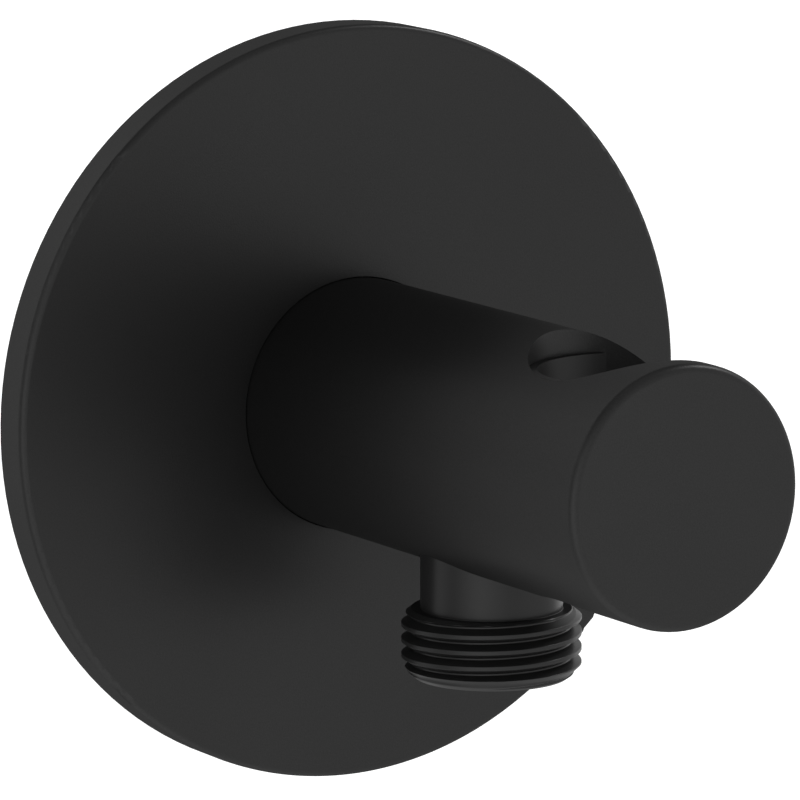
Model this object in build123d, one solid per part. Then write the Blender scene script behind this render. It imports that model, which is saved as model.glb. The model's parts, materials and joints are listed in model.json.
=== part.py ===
from build123d import *
import math
import os

# Wall outlet elbow with a hand-shower holder in its bar, in millimetres.
# The origin is the centre of the rose's wall face, +Z is up and +Y goes into the wall.
# The bar stands out along -Y, so a reach is a distance out from the wall.

# Fits, each a gap on the radius
slip_gap = 0.1  # pieces pushed together by hand
thread_gap = 0.05  # a screw in its tapped hole
running_gap = 0.06  # the valve stem in its guide
squeeze_gap = 0.03  # left where a squeezed rubber ring meets a wall
tip_gap = 0.05  # between the lock screw's tip and the floor of its groove

# Rose
rose_diameter = 90.0
rose_thickness = 5.0
rose_edge_round = 0.75
rose_front_wall = 1.5
rose_rim_wall = 2.0
rose_collar_wall = 4.5  # round the bar, deep enough for the grip ring's groove
rose_collar_setback = 0.5  # from the wall
rose_bore_gap = 0.15  # the hairline seam round the bar
grip_section = 2.0
grip_groove_width = 2.4
gasket_width = 6.0

# Bar
bar_diameter = 30.0
bar_setback = 1.0  # from the wall
bar_end_round = 1.0
bar_front_wall = 2.8  # between the holder bore and the front face
socket_lead_in = 0.8

# Holder
holder_bore = 24.0
holder_offset = 3.0  # the bore's axis stands off the bar's axis, towards the open side
holder_web = 3.6  # between the waterway's drill point and the bore
holder_lip = 1.0  # carries the liner, measured at the bar's flank
hose_slot = 16.0
slot_edge_round = 0.5
liner_mouth = 22.0  # the cone seat's diameter at the top
liner_foot = 20.4  # the cone seat's diameter at the bottom
liner_wrap = 3.0  # how far the liner's ends stand past the bore's axis

# Half-inch pipe thread, drawn as a plain cylinder at its outside diameter
thread_diameter = 20.8

# Inlet nipple
inlet_thread_length = 14.0
inlet_thread_chamfer = 1.2
inlet_key = 10.0  # hexagon across flats
inlet_wall = 1.0  # left under the seal grooves
seal_section = 1.8
seal_groove_width = 2.4
groove_land = 1.2
spigot_nose = 1.9  # from the front seal groove to the spigot's end
spigot_chamfer = 0.8

# Lock screw
screw_diameter = 5.0
screw_clear_of_rose = 1.5
screw_recess = 1.0
screw_key = 2.5
screw_key_depth = 2.2
screw_point = 0.5
lock_groove_depth = 1.0
lock_groove_play = 0.4  # on each side of the screw

# Waterway and outlet
waterway_diameter = 12.0
waterway_overrun = 6.0  # past the outlet's axis
drill_point_angle = 118.0
outlet_reach = 35.0
outlet_bore = 9.0
outlet_key = 10.0  # hexagon across flats
outlet_key_depth = 6.0
outlet_seat_depth = 4.0  # from the bar's underside up to the washer's seat
outlet_tap_web = 0.8  # between the tapped hole and the waterway
outlet_end_gap = 0.2  # between the nipple's top and the end of the tapped hole
outlet_washer_width = 1.2
outlet_washer_thickness = 1.0
neck_diameter = 16.45
neck_length = 4.4  # in view under the bar
outlet_thread_length = 7.8
outlet_thread_top_chamfer = 1.1
outlet_thread_end_chamfer = 1.6

# Check valve cartridge
valve_diameter = 14.0
valve_length = 15.0
valve_wall = 1.2
valve_web = 2.8  # carries the seat and the cartridge's own ring
valve_ring_section = 1.5
valve_ring_groove_width = 1.9
valve_ring_land = 0.45
valve_flow_gap = 1.2  # round the poppet's head
valve_seat_overlap = 1.0
valve_seal_thickness = 1.0
valve_stroke = 3.0
poppet_head_thickness = 1.4
poppet_nose_radius = 1.9
poppet_nose_length = 1.2
poppet_barb = 0.4
stem_radius = 1.2
hub_wall = 1.0
hub_stop_gap = 0.1
hub_length = 3.8
spoke_width = 1.2
spoke_depth = 2.0
spoke_count = 3
guide_rim_wall = 0.85
guide_setback = 0.5
snap_bead = 0.4
snap_bead_width = 0.8
spring_wire = 0.3
spring_turns = 4.0
spring_hub_gap = 0.6

# Sizes that follow from those above
cut_over = 1.0  # how far a cutting tool runs past a face
rose_radius = rose_diameter / 2
bar_radius = bar_diameter / 2
thread_radius = thread_diameter / 2
neck_radius = neck_diameter / 2
waterway_radius = waterway_diameter / 2
screw_radius = screw_diameter / 2
valve_radius = valve_diameter / 2

rose_bore = bar_radius + rose_bore_gap
grip_reach = (rose_collar_setback + rose_thickness) / 2
gasket_outer = rose_radius - rose_rim_wall - slip_gap

pocket_radius = valve_radius + slip_gap
seal_inner = pocket_radius + inlet_wall + squeeze_gap
socket_radius = seal_inner + seal_section + squeeze_gap
spigot_radius = socket_radius - slip_gap
lock_reach = rose_thickness + screw_clear_of_rose + screw_radius
lock_groove_width = screw_diameter + 2 * lock_groove_play
lock_groove_floor = spigot_radius - lock_groove_depth
seal_rear_reach = lock_reach + lock_groove_width / 2 + groove_land + seal_groove_width / 2
seal_front_reach = seal_rear_reach + seal_groove_width + groove_land
spigot_reach = seal_front_reach + seal_groove_width / 2 + spigot_nose
valve_back_reach = spigot_reach - valve_length

waterway_end = outlet_reach + waterway_overrun
waterway_tip = waterway_end + waterway_radius / math.tan(math.radians(drill_point_angle / 2))
holder_reach = waterway_tip + holder_web + holder_bore / 2
bar_reach = holder_reach + holder_bore / 2 + bar_front_wall
liner_top = math.sqrt(bar_radius**2 - (holder_bore / 2 - holder_offset) ** 2)
liner_seat = -(liner_top - holder_lip)

outlet_seat = -(bar_radius - outlet_seat_depth)
outlet_tap_top = -(waterway_radius + outlet_tap_web)
outlet_spigot_radius = neck_radius - outlet_washer_width
outlet_shoulder = outlet_seat - outlet_washer_thickness
collar_top = -(bar_radius + neck_length)
outlet_end = collar_top - outlet_thread_length

valve_chamber = valve_radius - valve_wall
poppet_head_radius = valve_chamber - valve_flow_gap
valve_seat_radius = poppet_head_radius - valve_seat_overlap
valve_seat_reach = valve_back_reach + valve_web
poppet_head_reach = valve_seat_reach + valve_seal_thickness
poppet_back_reach = poppet_head_reach + poppet_head_thickness
hub_reach = poppet_back_reach + valve_stroke + hub_stop_gap
hub_bore = stem_radius + running_gap
hub_radius = hub_bore + hub_wall
hub_end_reach = hub_reach + hub_length
spoke_reach = hub_end_reach - spoke_depth
stem_end_reach = spigot_reach - valve_stroke
guide_end_reach = spigot_reach - guide_setback
guide_radius = valve_chamber - slip_gap
snap_reach = (spoke_reach + guide_end_reach) / 2
spring_radius = hub_radius + spring_hub_gap + spring_wire / 2


def turned(*outline):
    """Solid turned about the bar's axis from points of radius and reach."""
    points = [(radius, -reach) for radius, reach in outline]
    return revolve(make_face(Polyline(*points, close=True)), Axis.Y)


def turned_upright(*outline):
    """Solid turned about the vertical axis from points of radius and height."""
    return revolve(Plane.XZ * make_face(Polyline(*outline, close=True)), Axis.Z)


def tube(inner, outer, start, end):
    """Plain ring about the bar's axis between two reaches."""
    return turned((inner, start), (outer, start), (outer, end), (inner, end))


def rubber_ring(inner, section, reach):
    """Round-section ring about the bar's axis, of the given inside radius."""
    return Pos(0, -reach, 0) * Rot(90, 0, 0) * Torus(inner + section / 2, section / 2)


def hexagon(across_flats):
    return RegularPolygon(across_flats / 2, 6, major_radius=False)


def at_outlet(shape):
    return Pos(0, -outlet_reach, 0) * shape


def at_holder(shape):
    return Pos(holder_offset, -holder_reach, 0) * shape


def open_side_block():
    """Block on the holder's open side, to cut the liner and its lip off flat."""
    height = 2 * bar_diameter
    return Box(holder_bore, 2 * holder_bore, height, align=(Align.MIN, Align.CENTER, Align.CENTER))


def make_rose():
    """Flat plate with a hollow back and a collar that holds the grip ring."""
    plate = tube(rose_bore, rose_radius, 0, rose_thickness)
    front_edge = plate.edges().filter_by(GeomType.CIRCLE).group_by(SortBy.RADIUS)[-1].sort_by(Axis.Y)[0]
    plate = fillet(front_edge, rose_edge_round)
    hollow_floor = rose_thickness - rose_front_wall
    plate -= tube(rose_bore + rose_collar_wall, rose_radius - rose_rim_wall, -cut_over, hollow_floor)
    plate -= tube(0, rose_bore + rose_collar_wall, -cut_over, rose_collar_setback)
    groove_floor = bar_radius + grip_section + 2 * squeeze_gap
    half_groove = grip_groove_width / 2
    return plate - tube(0, groove_floor, grip_reach - half_groove, grip_reach + half_groove)


def make_rose_ring():
    return rubber_ring(bar_radius + squeeze_gap, grip_section, grip_reach)


def make_rose_gasket():
    return tube(gasket_outer - gasket_width, gasket_outer, 0, rose_thickness - rose_front_wall)


def make_holder_body():
    """Turned bar with the spigot socket, the waterway, the outlet port and the holder cut."""
    bar = tube(0, bar_radius, bar_setback, bar_reach)
    bar = fillet(bar.edges().filter_by(GeomType.CIRCLE).sort_by(Axis.Y)[0], bar_end_round)
    bar -= turned(
        (0, bar_setback - cut_over),
        (socket_radius + socket_lead_in + cut_over, bar_setback - cut_over),
        (socket_radius, bar_setback + socket_lead_in),
        (socket_radius, spigot_reach),
        (waterway_radius, spigot_reach),
        (waterway_radius, waterway_end),
        (0, waterway_tip),
    )
    bar -= at_outlet(make_outlet_port())
    bar -= Pos(0, -lock_reach, 0) * Cylinder(
        screw_radius, bar_radius + cut_over, align=(Align.CENTER, Align.CENTER, Align.MAX)
    )
    bar -= at_holder(make_holder_cut())
    wall_reaches = (holder_reach - hose_slot / 2, holder_reach + hose_slot / 2)
    slot_edges = ShapeList()
    for face in bar.faces().filter_by(Axis.Y):
        if any(abs(face.center().Y + reach) < slot_edge_round for reach in wall_reaches):
            slot_edges += face.edges()
    return fillet(slot_edges, slot_edge_round)


def make_outlet_port():
    """Tapped hole up to the waterway, with the neck's counterbore at its mouth."""
    below_bar = -(bar_radius + cut_over)
    neck_hole = neck_radius + slip_gap
    tapped_hole = outlet_spigot_radius + thread_gap
    return turned_upright(
        (0, below_bar),
        (neck_hole, below_bar),
        (neck_hole, outlet_seat),
        (tapped_hole, outlet_seat),
        (tapped_hole, outlet_tap_top),
        (outlet_bore / 2, outlet_tap_top),
        (outlet_bore / 2, 0),
        (0, 0),
    )


def make_holder_cut():
    """Upright bore with a lip under the liner, and the slot that lets the hose in from the side."""
    top = bar_radius + cut_over
    bore = Cylinder(holder_bore / 2, 2 * top)
    lip = Cylinder(holder_bore / 2, top + liner_seat, align=(Align.CENTER, Align.CENTER, Align.MIN))
    lip -= Cylinder(liner_foot / 2, 2 * top)
    lip -= Pos(liner_wrap, 0, 0) * open_side_block()
    slot = Box(bar_radius, hose_slot, 2 * top, align=(Align.MIN, Align.CENTER, Align.CENTER))
    return bore - Pos(0, 0, -top) * lip + slot


def make_holder_liner():
    """Open ring with a conical seat, cut off flat where the hose comes in."""
    outer = holder_bore / 2 - slip_gap
    ring = turned_upright(
        (liner_mouth / 2, liner_top),
        (outer, liner_top),
        (outer, liner_seat),
        (liner_foot / 2, liner_seat),
    )
    return at_holder(ring - Pos(liner_wrap, 0, 0) * open_side_block())


def make_inlet_nipple():
    """Wall thread and grooved spigot on one piece, bored for the check valve and a hexagon key."""
    thread_root = thread_radius - inlet_thread_chamfer
    nipple = turned(
        (0, -inlet_thread_length),
        (thread_root, -inlet_thread_length),
        (thread_radius, inlet_thread_chamfer - inlet_thread_length),
        (thread_radius, 0),
        (spigot_radius, 0),
        (spigot_radius, spigot_reach - spigot_chamfer),
        (spigot_radius - spigot_chamfer, spigot_reach),
        (0, spigot_reach),
    )
    nipple -= tube(0, pocket_radius, valve_back_reach, spigot_reach + cut_over)
    key_start = Plane(origin=(0, inlet_thread_length + cut_over, 0), z_dir=(0, -1, 0))
    nipple -= extrude(key_start * hexagon(inlet_key), inlet_thread_length + valve_back_reach + 2 * cut_over)
    outside = spigot_radius + cut_over
    for reach in (seal_rear_reach, seal_front_reach):
        half_groove = seal_groove_width / 2
        nipple -= tube(seal_inner - squeeze_gap, outside, reach - half_groove, reach + half_groove)
    half_groove = lock_groove_width / 2
    return nipple - tube(lock_groove_floor, outside, lock_reach - half_groove, lock_reach + half_groove)


def make_lock_screw():
    """Grub screw with a flat point in the spigot's groove and a hexagon socket below."""
    tip = -(lock_groove_floor + tip_gap)
    foot = -(bar_radius - screw_recess)
    radius = screw_radius - thread_gap
    screw = turned_upright(
        (0, tip),
        (radius - screw_point, tip),
        (radius, tip - screw_point),
        (radius, foot),
        (0, foot),
    )
    socket = Pos(0, 0, foot) * extrude(hexagon(screw_key), screw_key_depth)
    return Pos(0, -lock_reach, 0) * (screw - socket)


def make_outlet_nipple():
    """Neck and hose thread on one piece, screwed up into the bar."""
    top_root = thread_radius - outlet_thread_top_chamfer
    end_root = thread_radius - outlet_thread_end_chamfer
    bore = outlet_bore / 2
    top = outlet_tap_top - outlet_end_gap
    nipple = turned_upright(
        (bore, top),
        (outlet_spigot_radius, top),
        (outlet_spigot_radius, outlet_shoulder),
        (neck_radius, outlet_shoulder),
        (neck_radius, collar_top),
        (top_root, collar_top),
        (thread_radius, collar_top - outlet_thread_top_chamfer),
        (thread_radius, outlet_end + outlet_thread_end_chamfer),
        (end_root, outlet_end),
        (bore, outlet_end),
    )
    key = Pos(0, 0, outlet_end) * extrude(hexagon(outlet_key), outlet_key_depth)
    return at_outlet(nipple - key)


def make_outlet_washer():
    inner = outlet_spigot_radius + thread_gap
    return at_outlet(
        turned_upright(
            (inner, outlet_seat),
            (neck_radius, outlet_seat),
            (neck_radius, outlet_shoulder),
            (inner, outlet_shoulder),
        )
    )


def make_valve_housing():
    """Cartridge wall with the seat at its wall end and a snap groove for the guide."""
    housing = turned(
        (valve_seat_radius, valve_back_reach),
        (valve_radius, valve_back_reach),
        (valve_radius, spigot_reach),
        (valve_chamber, spigot_reach),
        (valve_chamber, valve_seat_reach),
        (valve_seat_radius, valve_seat_reach),
    )
    groove_start = valve_back_reach + valve_ring_land
    groove_floor = pocket_radius - valve_ring_section - 2 * squeeze_gap
    housing -= tube(
        groove_floor, pocket_radius + cut_over, groove_start, groove_start + valve_ring_groove_width
    )
    snap_floor = guide_radius + snap_bead + slip_gap
    half_snap = snap_bead_width / 2 + slip_gap
    return housing - tube(0, snap_floor, snap_reach - half_snap, snap_reach + half_snap)


def make_valve_ring():
    reach = valve_back_reach + valve_ring_land + valve_ring_groove_width / 2
    return rubber_ring(pocket_radius - squeeze_gap - valve_ring_section, valve_ring_section, reach)


def make_valve_poppet():
    """Disc on a guided stem, with a barbed nose that keeps its seal on."""
    barb_radius = poppet_nose_radius + poppet_barb
    nose_start = valve_seat_reach - poppet_nose_length
    return turned(
        (0, nose_start),
        (poppet_nose_radius - poppet_barb, nose_start),
        (barb_radius, valve_seat_reach - poppet_barb),
        (barb_radius, valve_seat_reach),
        (poppet_nose_radius, valve_seat_reach),
        (poppet_nose_radius, poppet_head_reach),
        (poppet_head_radius, poppet_head_reach),
        (poppet_head_radius, poppet_back_reach),
        (stem_radius, poppet_back_reach),
        (stem_radius, stem_end_reach),
        (0, stem_end_reach),
    )


def make_valve_seal():
    return tube(poppet_nose_radius + slip_gap, poppet_head_radius, valve_seat_reach, poppet_head_reach)


def make_valve_guide():
    """Hub for the stem on three spokes, in a rim that snaps into the housing."""
    rim_inner = guide_radius - guide_rim_wall
    guide = tube(rim_inner, guide_radius, spoke_reach, guide_end_reach)
    half_bead = snap_bead_width / 2
    guide += tube(rim_inner, guide_radius + snap_bead, snap_reach - half_bead, snap_reach + half_bead)
    spoke_length = guide_radius - guide_rim_wall / 2
    spoke = Pos(0, -spoke_reach, 0) * Box(
        spoke_length, spoke_depth, spoke_width, align=(Align.MIN, Align.MAX, Align.CENTER)
    )
    for number in range(spoke_count):
        guide += Rot(0, number * 360 / spoke_count, 0) * spoke
    guide += tube(0, hub_radius, hub_reach, hub_end_reach)
    return guide - tube(0, hub_bore, hub_reach - cut_over, hub_end_reach + cut_over)


def make_valve_spring():
    """Open coil between the poppet's head and the guide's spokes."""
    start = poppet_back_reach + squeeze_gap + spring_wire / 2
    end = spoke_reach - squeeze_gap - spring_wire / 2
    height = end - start
    coil = Helix(
        pitch=height / spring_turns,
        height=height,
        radius=spring_radius,
        center=(0, -start, 0),
        direction=(0, -1, 0),
    )
    wire = Plane(origin=coil @ 0, z_dir=coil % 0) * Circle(spring_wire / 2)
    return sweep(wire, coil, is_frenet=True)


pieces = {
    "rose": make_rose(),
    "rose_ring": make_rose_ring(),
    "rose_gasket": make_rose_gasket(),
    "holder_body": make_holder_body(),
    "holder_liner": make_holder_liner(),
    "inlet_nipple": make_inlet_nipple(),
    "inlet_seal_rear": rubber_ring(seal_inner, seal_section, seal_rear_reach),
    "inlet_seal_front": rubber_ring(seal_inner, seal_section, seal_front_reach),
    "lock_screw": make_lock_screw(),
    "outlet_nipple": make_outlet_nipple(),
    "outlet_washer": make_outlet_washer(),
    "valve_housing": make_valve_housing(),
    "valve_ring": make_valve_ring(),
    "valve_poppet": make_valve_poppet(),
    "valve_seal": make_valve_seal(),
    "valve_guide": make_valve_guide(),
    "valve_spring": make_valve_spring(),
}

os.makedirs("parts", exist_ok=True)
for name, piece in pieces.items():
    export_step(piece, f"parts/{name}.step")
    print(name, round(piece.volume, 1))
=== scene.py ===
import json
import math

import bmesh
import bpy
import numpy as np
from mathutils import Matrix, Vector


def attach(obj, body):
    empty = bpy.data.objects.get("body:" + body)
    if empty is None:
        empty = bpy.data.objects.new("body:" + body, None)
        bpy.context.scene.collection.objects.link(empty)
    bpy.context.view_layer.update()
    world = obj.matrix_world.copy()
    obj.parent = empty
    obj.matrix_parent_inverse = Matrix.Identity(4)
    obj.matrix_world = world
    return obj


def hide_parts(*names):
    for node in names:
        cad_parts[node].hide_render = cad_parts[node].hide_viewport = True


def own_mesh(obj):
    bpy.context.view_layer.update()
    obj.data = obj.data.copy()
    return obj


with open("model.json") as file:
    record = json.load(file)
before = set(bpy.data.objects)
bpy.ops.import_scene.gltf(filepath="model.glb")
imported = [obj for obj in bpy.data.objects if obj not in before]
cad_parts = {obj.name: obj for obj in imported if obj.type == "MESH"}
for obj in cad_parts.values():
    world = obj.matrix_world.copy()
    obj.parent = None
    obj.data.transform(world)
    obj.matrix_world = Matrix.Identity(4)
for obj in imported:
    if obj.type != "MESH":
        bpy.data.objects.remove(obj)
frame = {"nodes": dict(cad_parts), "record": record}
nodes = frame["nodes"]
scene = bpy.context.scene
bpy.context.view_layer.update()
mm = 0.001  # the shapes below are in millimetres, the looks and the stage in metres


# a direction: azimuth in degrees from the front, -Y, towards +X, and elevation up from the horizon
def towards(azimuth, elevation):
    turn, lift = math.radians(azimuth), math.radians(elevation)
    return Vector((math.sin(turn) * math.cos(lift), -math.cos(turn) * math.cos(lift), math.sin(lift)))


# camera, fitted to the outlines of the rose, the bar and the thread

photoView = dict(
    azimuth=-31.47,
    elevation=10.107,
    distance=0.822188,
    slideRight=0.007748,
    slideUp=-0.000353,
    focalPixels=6922.065,
    imagePixels=800,
    sensor=36.0,
    nearest=0.01,
    farthest=200.0,
)


def makeCamera(view):
    back = towards(view["azimuth"], view["elevation"])
    right = towards(view["azimuth"] + 90, 0)
    up = back.cross(right)
    lens = bpy.data.cameras.new("photoCamera")
    lens.sensor_width = view["sensor"]
    lens.lens = view["focalPixels"] * view["sensor"] / view["imagePixels"]
    lens.clip_start, lens.clip_end = view["nearest"], view["farthest"]
    camera = bpy.data.objects.new("photoCamera", lens)
    scene.collection.objects.link(camera)
    camera.location = back * view["distance"] + right * view["slideRight"] + up * view["slideUp"]
    camera.rotation_euler = (-back).to_track_quat("-Z", "Y").to_euler()
    scene.camera = camera


makeCamera(photoView)
print("camera set")


# shader writing: a Wire is one output socket, and sums on it add Math nodes

class Wire:
    def __init__(self, tree, socket):
        self.tree, self.socket = tree, socket

    def combine(self, operation, first, second):
        return self.tree.add("ShaderNodeMath", {"operation": operation}, {0: first, 1: second})

    def __add__(self, other):
        return self.combine("ADD", self, other)

    def __radd__(self, other):
        return self.combine("ADD", other, self)

    def __sub__(self, other):
        return self.combine("SUBTRACT", self, other)

    def __rsub__(self, other):
        return self.combine("SUBTRACT", other, self)

    def __mul__(self, other):
        return self.combine("MULTIPLY", self, other)

    def __rmul__(self, other):
        return self.combine("MULTIPLY", other, self)

    def __pow__(self, other):
        return self.combine("POWER", self, other)


class NodeTree:
    def __init__(self, owner):
        owner.use_nodes = True
        self.nodes, self.links = owner.node_tree.nodes, owner.node_tree.links
        self.nodes.clear()

    # settings are set before the sockets; "stops" are a ramp's positions and colours
    def add(self, kind, settings=None, sockets=None, out=0):
        node = self.nodes.new(kind)
        for key, value in (settings or {}).items():
            if key == "stops":
                ramp = node.color_ramp.elements
                while len(ramp) < len(value):
                    ramp.new(0.5)
                for stop, (place, colour) in zip(ramp, value):
                    stop.position, stop.color = place, colour
            else:
                setattr(node, key, value)
        for key, value in (sockets or {}).items():
            if isinstance(value, Wire):
                self.links.new(value.socket, node.inputs[key])
            else:
                node.inputs[key].default_value = value
        return Wire(self, node.outputs[out]) if len(node.outputs) else node

    def place(self):
        return self.add("ShaderNodeTexCoord", out="Object")

    def noise(self, where, size, detail=2.0, rough=0.5):
        return self.add(
            "ShaderNodeTexNoise", {"noise_dimensions": "3D"},
            {"Vector": where, "Scale": 1 / size, "Detail": detail, "Roughness": rough}, "Fac")

    def stretch(self, where, scale):
        return self.add("ShaderNodeVectorMath", {"operation": "MULTIPLY"}, {0: where, 1: scale}, "Vector")

    def mixColour(self, share, first, second):
        return self.add(
            "ShaderNodeMix", {"data_type": "RGBA", "clamp_factor": True},
            {0: share, 6: first, 7: second}, 2)

    def bump(self, height, depth, under=None):
        sockets = {"Height": height, "Distance": depth, "Strength": 1.0}
        if under is not None:
            sockets["Normal"] = under
        return self.add("ShaderNodeBump", {}, sockets, "Normal")


def finishFrom(name, sockets, build):
    finish = bpy.data.materials.new(name)
    tree = NodeTree(finish)
    varying = build(tree)
    shader = tree.add("ShaderNodeBsdfPrincipled", {}, {**sockets, **varying})
    tree.add("ShaderNodeOutputMaterial", {}, {"Surface": shader})
    return finish


def grey(value):
    return (value, value, value, 1.0)


noiseMean = 0.5


# two patterns in one, by the weight of the first
def weighted(first, second, weight):
    return first * weight + second * (1 - weight)


# black coats: a broad sheen over a dark body, with more sheen where they are seen edge-on, and a fine grain
# in the mix, the gloss and the surface; the powder coat has a soft peel, and the outlet's smoother coat has
# turning rings

powderCoatLook = dict(
    sheen=0.1145, body=0.0088, share=0.25, shareSpread=0.13, shareGrain=0.75, edge=0.05, edgePower=5.0,
    roughness=0.37, roughSpread=0.07, roughGrain=0.6, grain=0.00020, grainDepth=0.00001, drift=0.018,
    relief=0.0011, reliefAlong=(1.0, 1.0, 1.0), reliefDepth=0.0000022,
)
turnedCoatLook = dict(
    sheen=0.28, body=0.0115, share=0.088, shareSpread=0.014, shareGrain=0.75, edge=0.75, edgePower=5.0,
    roughness=0.30, roughSpread=0.05, roughGrain=0.6, grain=0.00015, grainDepth=0.000001, drift=0.006,
    relief=0.00006, reliefAlong=(0.02, 0.02, 1.0), reliefDepth=0.0000005,
)


def coatFinish(name, look):
    finish = bpy.data.materials.new(name)
    tree = NodeTree(finish)
    where = tree.place()
    grain = tree.noise(where, look["grain"], detail=1.0)
    drift = tree.noise(where, look["drift"])
    relief = tree.noise(tree.stretch(where, look["reliefAlong"]), look["relief"])
    surface = tree.bump(grain, look["grainDepth"], tree.bump(relief, look["reliefDepth"]))
    roughSwing = (weighted(grain, drift, look["roughGrain"]) - noiseMean) * look["roughSpread"]
    shareSwing = (weighted(grain, drift, look["shareGrain"]) - noiseMean) * look["shareSpread"]
    edgeOn = tree.add("ShaderNodeLayerWeight", {}, {"Blend": 0.5}, "Facing") ** look["edgePower"]
    body = tree.add("ShaderNodeBsdfDiffuse", {}, {"Color": grey(look["body"]), "Normal": surface})
    sheen = tree.add("ShaderNodeBsdfAnisotropic", {}, {
        "Color": grey(look["sheen"]), "Normal": surface, "Roughness": look["roughness"] + roughSwing})
    share = look["share"] + shareSwing + edgeOn * look["edge"]
    blend = tree.add("ShaderNodeMixShader", {}, {0: share, 1: body, 2: sheen})
    tree.add("ShaderNodeOutputMaterial", {}, {"Surface": blend})
    return finish


# plastics and rubbers: a moulded grain over slow changes of tone

linerLook = dict(
    light=grey(0.033), dark=grey(0.028), grain=0.00022, drift=0.009, roughness=0.42, roughSpread=0.08,
    depth=0.000002, metallic=0.94, tint=0.5, level=0.3,
)
rubberLook = dict(
    light=(0.020, 0.020, 0.021, 1), dark=(0.011, 0.011, 0.012, 1), grain=0.00012, drift=0.004,
    roughness=0.55, roughSpread=0.16, depth=0.000003, metallic=0.0, tint=1.0, level=0.4,
)
whitePlasticLook = dict(
    light=(0.82, 0.82, 0.79, 1), dark=(0.72, 0.72, 0.68, 1), grain=0.00025, drift=0.006,
    roughness=0.42, roughSpread=0.12, depth=0.000003, metallic=0.0, tint=1.0, level=0.5,
)
bluePlasticLook = dict(
    light=(0.11, 0.26, 0.53, 1), dark=(0.08, 0.20, 0.44, 1), grain=0.00025, drift=0.005,
    roughness=0.38, roughSpread=0.12, depth=0.000003, metallic=0.0, tint=1.0, level=0.5,
)


def mouldedFinish(name, look):
    def build(tree):
        where = tree.place()
        grain = tree.noise(where, look["grain"])
        drift = tree.noise(where, look["drift"], detail=3.0)
        tone = weighted(grain, drift, 1 / 2)
        return {
            "Base Color": tree.mixColour(tone, look["dark"], look["light"]),
            "Roughness": look["roughness"] + (tone - noiseMean) * look["roughSpread"],
            "Normal": tree.bump(grain, look["depth"]),
        }
    sockets = {
        "Metallic": look["metallic"], "Specular Tint": grey(look["tint"]),
        "Specular IOR Level": look["level"],
    }
    return finishFrom(name, sockets, build)


# closed-cell foam: pits between rounded cells, with painted shade that darkens the colour in the pits

foamLook = dict(
    light=(0.066, 0.066, 0.067, 1), dark=(0.036, 0.036, 0.037, 1), cell=0.00055, pitShadeWeight=0.6,
    drift=0.012, roughness=0.86, roughSpread=0.12, depth=0.00009, level=0.25,
)


def foamFinish(name, look):
    def build(tree):
        where = tree.place()
        cells = tree.add(
            "ShaderNodeTexVoronoi", {"feature": "F1", "distance": "EUCLIDEAN"},
            {"Vector": where, "Scale": 1 / look["cell"], "Randomness": 1.0}, "Distance")
        drift = tree.noise(where, look["drift"], detail=3.0)
        # painted shade: the cell pattern makes the colour darkest at the cell borders, where the bump sinks
        # into pits
        tone = weighted(1 - cells, drift, look["pitShadeWeight"])
        return {
            "Base Color": tree.mixColour(tone, look["dark"], look["light"]),
            "Roughness": look["roughness"] + (drift - noiseMean) * look["roughSpread"],
            "Normal": tree.bump(1 - cells * cells, look["depth"]),
        }
    return finishFrom(name, {"Specular IOR Level": look["level"]}, build)


# turned metal and wire: fine lines over tarnish, drawn out along the axes where across is small

turnedWear = dict(tarnishWeight=0.8, ringGloss=0.5)
brassLook = dict(
    **turnedWear, light=(0.72, 0.53, 0.25, 1), dark=(0.47, 0.32, 0.13, 1), across=(0.03, 1.0, 0.03),
    ring=0.00012, drift=0.007, grain=0.0002, roughness=0.27, roughSpread=0.16, depth=0.000004,
)
steelLook = dict(
    **turnedWear, light=(0.50, 0.50, 0.51, 1), dark=(0.36, 0.36, 0.37, 1), across=(0.03, 0.03, 1.0),
    ring=0.00008, drift=0.002, grain=0.0001, roughness=0.30, roughSpread=0.14, depth=0.000003,
)
wireLook = dict(
    **turnedWear, light=(0.66, 0.66, 0.67, 1), dark=(0.52, 0.52, 0.53, 1), across=(1.0, 0.05, 1.0),
    ring=0.00006, drift=0.002, grain=0.00008, roughness=0.22, roughSpread=0.10, depth=0.000001,
)


def turnedMetalFinish(name, look):
    def build(tree):
        where = tree.place()
        rings = tree.noise(tree.stretch(where, look["across"]), look["ring"])
        tarnish = tree.noise(where, look["drift"], detail=4.0, rough=0.6)
        grain = tree.noise(where, look["grain"], detail=1.0)
        tone = weighted(tarnish, grain, look["tarnishWeight"])
        roughSwing = noiseMean - tarnish + (rings - noiseMean) * look["ringGloss"]
        return {
            "Base Color": tree.mixColour(tone, look["dark"], look["light"]),
            "Roughness": look["roughness"] + roughSwing * look["roughSpread"],
            "Normal": tree.bump(rings, look["depth"]),
        }
    return finishFrom(name, {"Metallic": 1.0}, build)


finishes = {
    "rose_coating": coatFinish("roseCoat", powderCoatLook),
    "bar_coating": coatFinish("barCoat", powderCoatLook),
    "outlet_coating": coatFinish("outletCoat", turnedCoatLook),
    "liner_plastic": mouldedFinish("linerPlastic", linerLook),
    "gasket_foam": foamFinish("gasketFoam", foamLook),
    "seal_rubber": mouldedFinish("sealRubber", rubberLook),
    "raw_brass": turnedMetalFinish("rawBrass", brassLook),
    "screw_steel": turnedMetalFinish("screwSteel", steelLook),
    "valve_plastic": mouldedFinish("valvePlastic", whitePlasticLook),
    "poppet_plastic": mouldedFinish("poppetPlastic", bluePlasticLook),
    "spring_steel": turnedMetalFinish("springSteel", wireLook),
}
for part in frame["record"]["subparts"]:
    for place in nodes[part["node"]].material_slots:
        place.material = finishes[part["material_slot"]]
print("finishes:", len(finishes))


# turned pieces: bands of radius and height on a grid of rows by columns, welded at their ends;
# a band also says by how many rows its last column is shifted where it meets the first one

def fullTurn(columns):
    return np.linspace(0, 2 * np.pi, columns, endpoint=False)


def unit(vectors, shortest=1e-12):
    return vectors / np.maximum(np.linalg.norm(vectors, axis=-1, keepdims=True), shortest)


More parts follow.
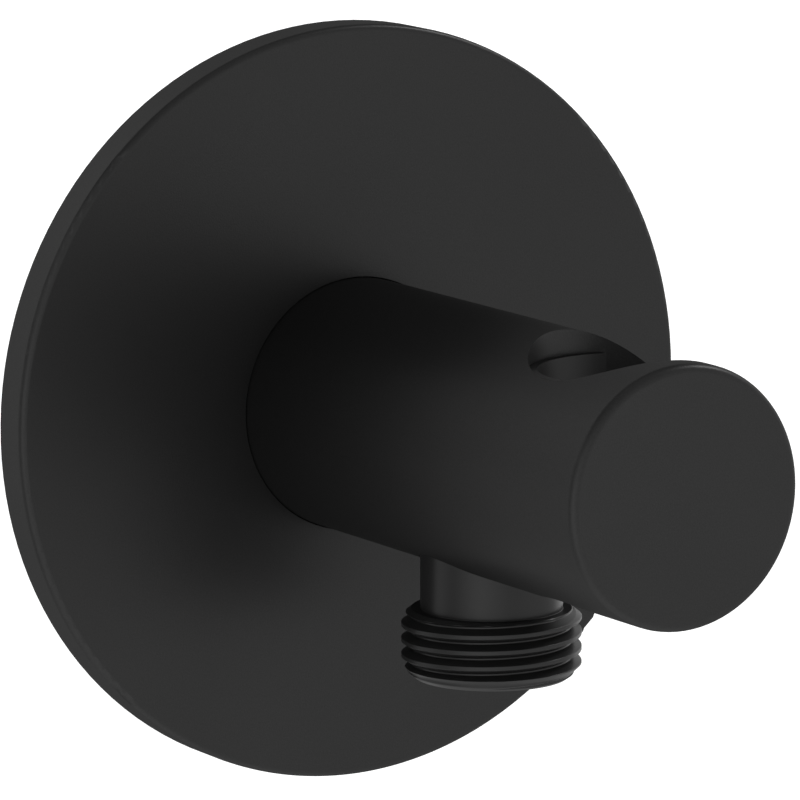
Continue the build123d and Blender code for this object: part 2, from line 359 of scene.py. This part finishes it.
# each inner corner of an open outline, given with its radius, becomes an arc tangent to both its sides,
# with a guard point just off each end of the arc so that the flats stay flat in shading
def roundedPath(corners, steps, guard=0.02):
    table = np.array(corners, float)
    points, radius = table[1:-1, :2], table[1:-1, 2]
    behind, ahead = unit(table[:-2, :2] - points), unit(table[2:, :2] - points)
    half = np.arccos(np.clip((behind * ahead).sum(1), -1, 1)) / 2
    inset = (radius / np.tan(half))[:, None]
    centre = points + unit(behind + ahead) * (radius / np.sin(half))[:, None]
    first, last = points + behind * inset, points + ahead * inset
    start = np.arctan2(*(first - centre).T[::-1])
    sweep = (np.arctan2(*(last - centre).T[::-1]) - start + np.pi) % (2 * np.pi) - np.pi
    turn = start[:, None] + sweep[:, None] * np.linspace(0, 1, steps)
    arc = centre[:, None] + radius[:, None, None] * np.stack([np.cos(turn), np.sin(turn)], -1)
    rows = np.concatenate([(first + behind * guard)[:, None], arc, (last + ahead * guard)[:, None]], 1)
    return np.concatenate([table[:1, :2], rows.reshape(-1, 2), table[-1:, :2]])


# a plain band: the outline's radius and height, the same at every angle
def plainBand(corners, theta, steps=6):
    path = roundedPath(corners, steps)
    return path[:, :1] + 0 * theta, path[:, 1:] + 0 * theta, 0


# a flat band: a ring at one height, from one radius to another, each one value or one for every angle
def flatBand(first, second, height, theta):
    return np.stack([first + 0 * theta, second + 0 * theta]), np.full((2, len(theta)), height), 0


# a hexagon socket: the radius is half the flats over the cosine of the angle from the nearest flat's
# middle, or the countersink's cone where that is wider
def hexBand(flats, mouth, floor, countersink, theta, rows=7):
    sixth = np.pi / 3
    fromFlat = (theta + sixth / 2) % sixth - sixth / 2
    across = flats / 2 / np.cos(fromFlat)
    depth = np.concatenate([np.linspace(0, countersink, rows), [abs(floor - mouth)]])[:, None]
    height = mouth + np.sign(floor - mouth) * depth
    return np.maximum(across, flats / 2 + countersink - depth), height + 0 * theta, 0


# a thread: rows follow the helix, so the height of a row is its start plus the pitch times the share of a
# turn, held between the two ends; the radius is the thread's own outline, cut down to the blank's, which is
# a list of heights and radii
def threadBand(form, blank, theta):
    low, high = blank[0][0], blank[-1][0]
    pitch, crest, depth = form["pitch"], form["crest"], form["depth"]
    flank = depth * math.tan(math.radians(form["angle"] / 2))
    top, foot = form["crestFlat"] / 2, form["crestFlat"] / 2 + flank
    outline = roundedPath([
        (0, crest, 0), (top, crest, form["crestRound"]), (foot, crest - depth, form["rootRound"]),
        (pitch - foot, crest - depth, form["rootRound"]), (pitch - top, crest, form["crestRound"]),
        (pitch, crest, 0),
    ], form["steps"], form["guard"])[:-1]
    evenRows = np.arange(form["fill"]) * pitch / form["fill"]  # enough for the blank's ends
    offset = np.union1d(outline[:, 0], evenRows)
    turns = math.ceil((high - low) / pitch) + form["runOut"] + 1
    bottom = low - pitch * form["runOut"] + (form["phase"] - low) % pitch
    start = (bottom + pitch * np.arange(turns)[:, None] + offset).reshape(-1, 1)
    radius = np.tile(np.interp(offset, *outline.T, period=pitch), turns)[:, None]
    height = np.clip(start + pitch * theta / (2 * np.pi), low, high)
    return np.minimum(radius, np.interp(height, *np.array(blank).T)), height, len(offset)


# quads between neighbouring rows and columns; the last column joins the first one, some rows further on
def bandFaces(rows, columns, shift):
    row, column = np.meshgrid(np.arange(rows - 1), np.arange(columns), indexing="ij")
    lift = np.where(column + 1 == columns, shift, 0)
    beside = (column + 1) % columns
    quads = np.stack([
        row * columns + column, (row + lift) * columns + beside,
        (row + 1 + lift) * columns + beside, (row + 1) * columns + column,
    ], -1)
    return quads[row + 1 + lift < rows]


weld = dict(merge=1e-7, collapse=1e-8)


def makePiece(name, points, faces, sharpDegrees, body, replaced, slot):
    mesh = bpy.data.meshes.new(name)
    mesh.from_pydata((points * mm).tolist(), [], faces.tolist())
    shell = bmesh.new()
    shell.from_mesh(mesh)
    bmesh.ops.remove_doubles(shell, verts=shell.verts, dist=weld["merge"])
    bmesh.ops.dissolve_degenerate(shell, edges=shell.edges, dist=weld["collapse"])
    bmesh.ops.recalc_face_normals(shell, faces=shell.faces)
    openEdges = sum(1 for edge in shell.edges if not edge.is_manifold)
    shell.to_mesh(mesh)
    shell.free()
    mesh.polygons.foreach_set("use_smooth", np.ones(len(mesh.polygons), bool))
    mesh.set_sharp_from_angle(angle=math.radians(sharpDegrees))
    mesh.materials.append(finishes[slot])
    piece = bpy.data.objects.new(name, mesh)
    scene.collection.objects.link(piece)
    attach(piece, body)
    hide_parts(replaced)
    print(name, len(mesh.polygons), "faces,", openEdges, "open edges")
    return piece


# bands turned about an upright axis, given by its X and Y, or about the bar's axis, with heights along Y
def turnedPiece(name, bands, theta, axis, sharpDegrees, body, replaced, slot):
    points, faces, count = [], [], 0
    for radius, height, shift in bands:
        if axis == "bar":
            grid = np.stack([radius * np.sin(theta), height, radius * np.cos(theta)], -1)
        else:
            x, y = axis[0] + radius * np.cos(theta), axis[1] + radius * np.sin(theta)
            grid = np.stack([x, y, height], -1)
        points.append(grid.reshape(-1, 3))
        faces.append(bandFaces(*radius.shape, shift) + count)
        count += radius.size
    points, faces = np.concatenate(points), np.concatenate(faces)
    return makePiece(name, points, faces, sharpDegrees, body, replaced, slot)


# half-inch pipe thread; each piece sets what differs on it
pipeThread = dict(
    pitch=1.814, crest=10.4, depth=1.1, angle=55.0, crestFlat=0.46, crestRound=0.09, rootRound=0.08,
    steps=4, guard=0.015, fill=10, phase=0.0, runOut=2,
)


# outlet: spigot, neck and collar from the top down, then the hose thread with a hexagon socket in its end;
# the blank's heights and radii go up from the end's chamfer and small step to the collar's slope

outletShape = dict(
    axis=(0.0, -35.0), columns=240, sharp=32, thread=dict(phase=1.745, fill=40),
    blank=((-27.2, 8.9), (-26.72, 9.58), (-26.62, 9.66), (-26.42, 9.69), (-26.25, 9.78), (-25.65, 10.4),
           (-20.15, 10.4), (-19.25, 9.25)),
    top=-7.0, bore=4.5, spigot=7.025, shoulder=-12.0, neck=8.225, edge=0.12, foot=0.06,
    key=10.0, keyFloor=-21.2, countersink=0.9,
)


def makeOutletNipple(shape):
    theta = fullTurn(shape["columns"])
    top, shoulder, edge = shape["top"], shape["shoulder"], shape["edge"]
    bore, spigot, neck = shape["bore"], shape["spigot"], shape["neck"]
    (end, endRadius), (collarTop, collarRadius) = shape["blank"][0], shape["blank"][-1]
    upper = plainBand([
        (bore, top, 0), (spigot, top, edge), (spigot, shoulder, edge), (neck, shoulder, edge),
        (neck, collarTop, shape["foot"]), (collarRadius, collarTop, 0),
    ], theta)
    thread = threadBand({**pipeThread, **shape["thread"]}, shape["blank"], theta)
    key = hexBand(shape["key"], end, shape["keyFloor"], shape["countersink"], theta)
    face = flatBand(endRadius, key[0][0], end, theta)
    keyFoot = flatBand(key[0][-1], bore, shape["keyFloor"], theta)
    waterway = plainBand([(bore, shape["keyFloor"], 0), (bore, top, 0)], theta)
    turnedPiece("outletNipple", [upper, thread, face, key, keyFoot, waterway], theta, shape["axis"],
                shape["sharp"], "elbow", "outlet_nipple", "outlet_coating")


makeOutletNipple(outletShape)


# inlet: the wall thread, then the spigot inside the bar with its lock groove and two seal grooves

inletShape = dict(
    columns=180, sharp=32, thread=dict(phase=0.4), arcSteps=4,
    blank=((0.6, 9.3), (1.7, 10.4), (12.8, 10.4), (14.0, 9.2)),
    spigot=9.86, barEnd=0.0, nose=-21.0, noseChamfer=0.8, pocket=7.1, pocketFloor=-6.0, edge=0.1,
    key=10.0, countersink=0.9, lockMiddle=-9.0, lockWidth=5.8, lockFloor=8.86,
    sealMiddles=(-14.3, -17.9), sealWidth=2.4, sealFloor=8.1,
)


def makeInletNipple(shape):
    theta = fullTurn(shape["columns"])
    spigot, edge, nose = shape["spigot"], shape["edge"], shape["nose"]
    chamfer, pocket, pocketFloor = shape["noseChamfer"], shape["pocket"], shape["pocketFloor"]
    (threadStart, relief), (end, endRadius) = shape["blank"][0], shape["blank"][-1]
    grooves = [(shape["lockMiddle"], shape["lockWidth"], shape["lockFloor"])]
    grooves += [(middle, shape["sealWidth"], shape["sealFloor"]) for middle in shape["sealMiddles"]]
    outline = [(relief, threadStart, 0), (relief, shape["barEnd"], edge), (spigot, shape["barEnd"], edge)]
    for middle, width, floor in grooves:
        outline += [
            (spigot, middle + width / 2, edge), (floor, middle + width / 2, edge),
            (floor, middle - width / 2, edge), (spigot, middle - width / 2, edge),
        ]
    outline += [
        (spigot, nose + chamfer, edge), (spigot - chamfer, nose, edge),
        (pocket, nose, edge), (pocket, pocketFloor, 0),
    ]
    outside = plainBand(outline, theta, shape["arcSteps"])
    thread = threadBand({**pipeThread, **shape["thread"]}, shape["blank"], theta)
    key = hexBand(shape["key"], end, pocketFloor, shape["countersink"], theta)
    face = flatBand(endRadius, key[0][0], end, theta)
    floorRing = flatBand(key[0][-1], pocket, pocketFloor, theta)
    turnedPiece("inletNipple", [outside, thread, face, key, floorRing], theta, "bar",
                shape["sharp"], "elbow", "inlet_nipple", "raw_brass")


makeInletNipple(inletShape)


# lock screw: a grub screw, point up, with a hexagon socket in its foot

screwShape = dict(
    axis=(0.0, -9.0), columns=96, sharp=32, tip=-8.91, foot=-14.0, radius=2.45, pointRadius=1.95,
    thread=dict(pitch=0.8, depth=0.42, angle=60.0, crestFlat=0.12, crestRound=0.03, rootRound=0.05,
                guard=0.006),
    key=2.5, keyFloor=-11.8, countersink=0.25,
)


def makeLockScrew(shape):
    theta = fullTurn(shape["columns"])
    tip, foot, radius, pointRadius = shape["tip"], shape["foot"], shape["radius"], shape["pointRadius"]
    depth = shape["thread"]["depth"]
    root = radius - depth
    blank = ((foot, root), (foot + depth, radius), (tip - radius + pointRadius, radius), (tip, pointRadius))
    thread = threadBand({**pipeThread, **shape["thread"], "crest": radius}, blank, theta)
    key = hexBand(shape["key"], foot, shape["keyFloor"], shape["countersink"], theta)
    face = flatBand(root, key[0][0], foot, theta)
    keyFoot = flatBand(key[0][-1], 0, shape["keyFloor"], theta)
    point = flatBand(0, pointRadius, tip, theta)
    turnedPiece("lockScrew", [thread, face, key, keyFoot, point], theta, shape["axis"],
                shape["sharp"], "elbow", "lock_screw", "screw_steel")


makeLockScrew(screwShape)


# grip ring, squeezed between the rose and the bar: cosine and sine of the angle round its section, each
# raised to a power below one, so its sides flatten

gripRingShape = dict(
    columns=240, rows=40, sharp=60, middle=16.0, reach=2.75, halfWidth=1.06, halfLength=0.97, power=0.72,
)


def makeGripRing(shape):
    theta = fullTurn(shape["columns"])
    section = np.linspace(0, 2 * np.pi, shape["rows"] + 1)[:, None]
    waves = np.stack([np.cos(section), np.sin(section)])
    across, along = np.sign(waves) * np.abs(waves) ** shape["power"]
    radius = shape["middle"] + across * shape["halfWidth"] + 0 * theta
    height = -shape["reach"] + along * shape["halfLength"] + 0 * theta
    turnedPiece("gripRing", [(radius, height, 0)], theta, "bar",
                shape["sharp"], "elbow", "rose_ring", "seal_rubber")


makeGripRing(gripRingShape)


# valve spring, a wire along a helix: its middle goes round the bar's axis at one radius and moves on
# evenly along it, and the wire's circle lies across that path

springShape = dict(
    columns=12, steps=48, sharp=60, turns=4.0, radius=3.01, wire=0.15, start=-11.38, end=-15.92,
    seat=-16.1, keep=0.384,
)


def makeSpring(shape):
    radius, start = shape["radius"], shape["start"]
    turn = 2 * np.pi * np.linspace(0, shape["turns"], round(shape["turns"] * shape["steps"]) + 1)[:, None]
    pace = (shape["end"] - start) / (2 * np.pi * shape["turns"])
    outward = np.concatenate([np.sin(turn), 0 * turn, -np.cos(turn)], 1)
    middle = radius * outward + np.concatenate([0 * turn, start + pace * turn, 0 * turn], 1)
    along = unit(np.concatenate([radius * np.cos(turn), pace + 0 * turn, radius * np.sin(turn)], 1))
    across = np.cross(along, outward)
    theta = fullTurn(shape["columns"])[None, :, None]
    circle = np.cos(theta) * outward[:, None] + np.sin(theta) * across[:, None]
    tube = middle[:, None] + shape["wire"] * circle
    grid = np.concatenate([middle[:1, None] + 0 * tube[:1], tube, middle[-1:, None] + 0 * tube[:1]])
    piece = makePiece("valveSpring", grid.reshape(-1, 3), bandFaces(*grid.shape[:2], 0),
                      shape["sharp"], "elbow", "valve_spring", "spring_steel")
    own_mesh(piece)


makeSpring(springShape)


# lit pale floor far below, a soft dome dimmest in the upper rear, and one key light from the upper right;
# stops are degrees of elevation or azimuth, each with the brightness there

stageLook = dict(
    floorDrop=-1.6, floorHalf=40.0, floorTone=0.8, floorBounce=0.62,
    floorRough=0.55, floorRoughSpread=0.2, floorGrain=0.8,
    behindStops=(
        (-90, 1.15), (-68, 1.3), (-45, 0.80), (-25, 0.86), (-15, 0.98), (-8, 1.04), (34, 1.08), (42, 0.34),
        (60, 0.30), (78, 0.55), (90, 0.55),
    ),
    frontStops=(
        (-90, 1.15), (-68, 1.3), (-45, 1.0), (-5, 1.0), (8, 0.88), (25, 0.70), (45, 0.50), (72, 0.50),
        (90, 0.55),
    ),
    aroundStops=(
        (-180, 2.1), (-168, 1.85), (-155, 1.25), (-146, 1.08), (-136, 0.86), (-121, 0.94), (-97, 0.35),
        (-53, 1.45), (0, 0.84), (31, 0.99), (60, 1.06), (75, 1.2), (89, 1.5), (100, 2.8), (110, 2.8),
        (122, 1.8), (138, 1.25), (152, 1.15), (166, 1.5), (180, 2.1),
    ),
    headroom=2.0, frontReach=0.4, poleFade=2.0,
    keyAzimuth=82.0, keyElevation=43.0, keyPower=0.8, keyAngle=13.0,
)


# how bright the studio is in a direction: two ramps over height, one for the front and one for the rest,
# times a ramp round the horizon that fades out towards straight up and straight down
def studioLight(tree, heading, look):
    # a ramp's share runs from 0 to 1 between minus and plus the reach, and headroom scales its colours
    def ramp(stops, reach, share):
        table = [(place / reach / 2 + 0.5, grey(value / look["headroom"])) for place, value in stops]
        tone = tree.add("ShaderNodeValToRGB", {"stops": table}, {"Fac": share}, "Color")
        return tree.add("ShaderNodeSeparateColor", {}, {0: tone}, "Red") * look["headroom"]
    split = tree.add("ShaderNodeSeparateXYZ", {}, {0: heading})
    x, y, z = (Wire(tree, out) for out in split.socket.node.outputs)
    forward = y * -1.0
    height = tree.add("ShaderNodeMath", {"operation": "ARCSINE"}, {0: z}) * (1 / math.pi) + 0.5
    turn = tree.add("ShaderNodeMath", {"operation": "ARCTAN2"}, {0: x, 1: forward}) * (0.5 / math.pi) + 0.5
    behind, front = ramp(look["behindStops"], 90, height), ramp(look["frontStops"], 90, height)
    ahead = tree.add(
        "ShaderNodeMath", {"operation": "ADD", "use_clamp": True}, {0: forward, 1: look["frontReach"]})
    around = ramp(look["aroundStops"], 180, turn) - 1.0
    return (behind + (front - behind) * ahead) * (around * (1.0 - z * z) ** look["poleFade"] + 1.0)


def makeFloor(look):
    half, drop = look["floorHalf"], look["floorDrop"]
    corners = [(-half, -half, drop), (half, -half, drop), (half, half, drop), (-half, half, drop)]
    mesh = bpy.data.meshes.new("paleFloor")
    mesh.from_pydata(corners, [], [range(len(corners))])
    floor = bpy.data.objects.new("paleFloor", mesh)
    scene.collection.objects.link(floor)

    # the floor gives the studio's own light, less what it already throws back
    def build(tree):
        where = tree.place()
        heading = tree.add("ShaderNodeVectorMath", {"operation": "NORMALIZE"}, {0: where}, "Vector")
        pool = studioLight(tree, heading, look) - look["floorBounce"]
        patches = tree.noise(where, look["floorGrain"], detail=3.0)
        return {
            "Emission Color": tree.add("ShaderNodeCombineColor", {}, {0: pool, 1: pool, 2: pool}, "Color"),
            "Roughness": look["floorRough"] + patches * look["floorRoughSpread"],
        }
    mesh.materials.append(finishFrom("paleFloor", {
        "Base Color": grey(look["floorTone"]), "Emission Strength": 1.0, "Specular IOR Level": 0.0}, build))


def makeLights(look):
    world = bpy.data.worlds.new("softDome")
    scene.world = world
    tree = NodeTree(world)
    glow = studioLight(tree, tree.add("ShaderNodeTexCoord", out="Generated"), look)
    colour = tree.add("ShaderNodeCombineColor", {}, {0: glow, 1: glow, 2: glow}, "Color")
    shader = tree.add("ShaderNodeBackground", {}, {"Color": colour, "Strength": 1.0})
    tree.add("ShaderNodeOutputWorld", {}, {"Surface": shader})
    lamp = bpy.data.lights.new("keyLight", "SUN")
    lamp.energy, lamp.angle = look["keyPower"], math.radians(look["keyAngle"])
    key = bpy.data.objects.new("keyLight", lamp)
    scene.collection.objects.link(key)
    beam = towards(look["keyAzimuth"], look["keyElevation"])
    key.rotation_euler = beam.to_track_quat("Z", "Y").to_euler()


makeFloor(stageLook)
makeLights(stageLook)
scene.view_settings.view_transform = "Standard"
print("stage and lights set")
